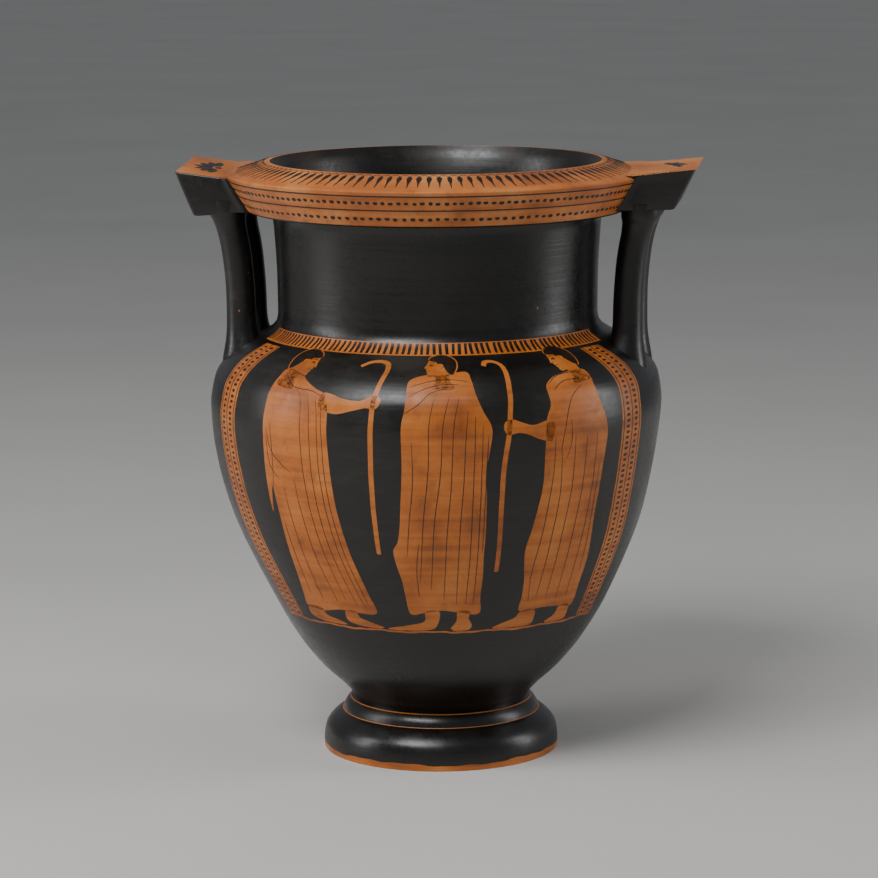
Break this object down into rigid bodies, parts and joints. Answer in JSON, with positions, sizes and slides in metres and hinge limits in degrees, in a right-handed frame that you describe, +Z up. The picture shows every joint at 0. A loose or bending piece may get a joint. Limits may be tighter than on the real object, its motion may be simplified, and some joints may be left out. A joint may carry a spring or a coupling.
{
  "type": "column krater",
  "caption": "Wide hollow ceramic mixing bowl on a stepped foot, with a straight neck, an overhanging lip and twin-column handles topped by flat plates.",
  "frame": {"origin": "centre of the whole piece, within 2 mm of the middle of the foot, at the height of the surface that it stands on", "axes": "+Z up; +X and -X towards the two handles; -Y towards the painted front panel"},
  "size_m": [0.3493, 0.3064, 0.4042],
  "materials": {
    "black_gloss": "glossy black slip with red-orange clay left in reserve for the figures, patterns and lip"
  },
  "bodies": {
    "root": {"krater": "black_gloss"}
  },
  "joints": []
}
